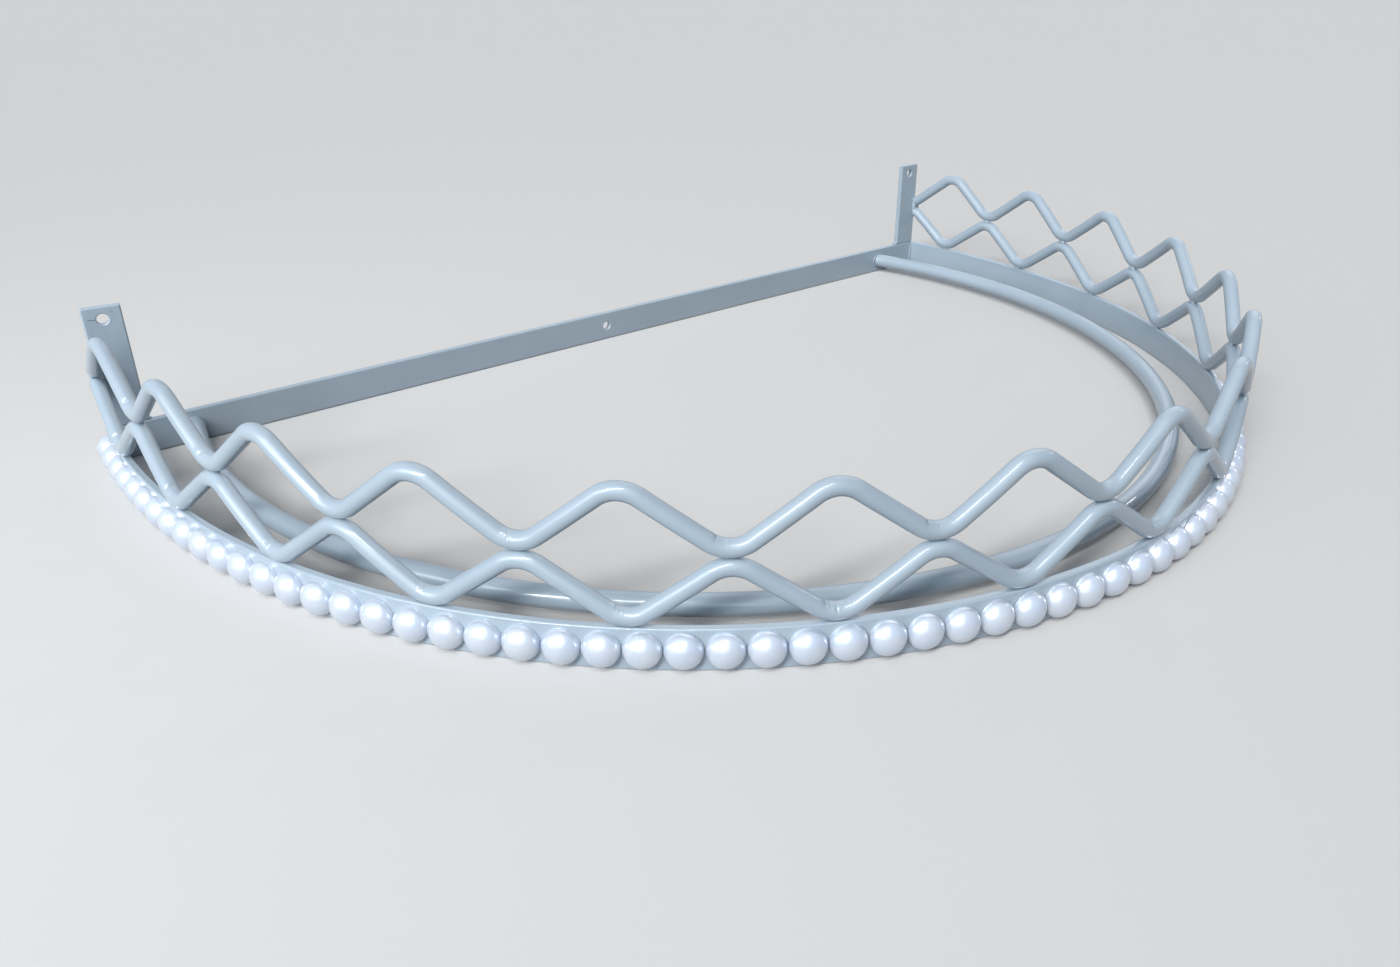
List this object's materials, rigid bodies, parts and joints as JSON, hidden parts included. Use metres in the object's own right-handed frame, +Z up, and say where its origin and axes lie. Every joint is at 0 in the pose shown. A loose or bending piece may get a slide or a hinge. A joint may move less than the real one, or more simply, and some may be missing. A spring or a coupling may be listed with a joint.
{
  "type": "bed crown canopy",
  "caption": "Wall-mounted half-round bed crown: bent-rod points over a flat band with half pearls, and an inner curtain rod.",
  "frame": {"origin": "on the ground plane under the centre of the bounding box; the bottom edges of the wall bar and of the pearl band lie on that plane", "axes": "+Z up along the uprights, +Y to the wall, square to the wall bar's back face, +X along the wall bar"},
  "size_m": [0.5214, 0.3362, 0.0665],
  "materials": {
    "enamel": "pale blue-grey gloss enamel",
    "pearl": "pearlescent white, glossy"
  },
  "bodies": {
    "root": {"wall_bar": "enamel", "upright_left": "enamel", "upright_right": "enamel", "pearl_band": "enamel", "zigzag_lower": "enamel", "zigzag_upper": "enamel", "curtain_rod": "enamel", "pearl_strip_01": "pearl", "pearl_strip_02": "pearl", "pearl_strip_03": "pearl", "pearl_strip_04": "pearl", "pearl_strip_05": "pearl", "pearl_strip_06": "pearl", "pearl_strip_07": "pearl", "pearl_strip_08": "pearl", "pearl_strip_09": "pearl", "pearl_strip_10": "pearl", "pearl_strip_11": "pearl", "pearl_strip_12": "pearl", "pearl_strip_13": "pearl", "pearl_strip_14": "pearl", "pearl_strip_15": "pearl", "pearl_strip_16": "pearl", "pearl_strip_17": "pearl", "pearl_strip_18": "pearl", "pearl_strip_19": "pearl"}
  },
  "joints": []
}
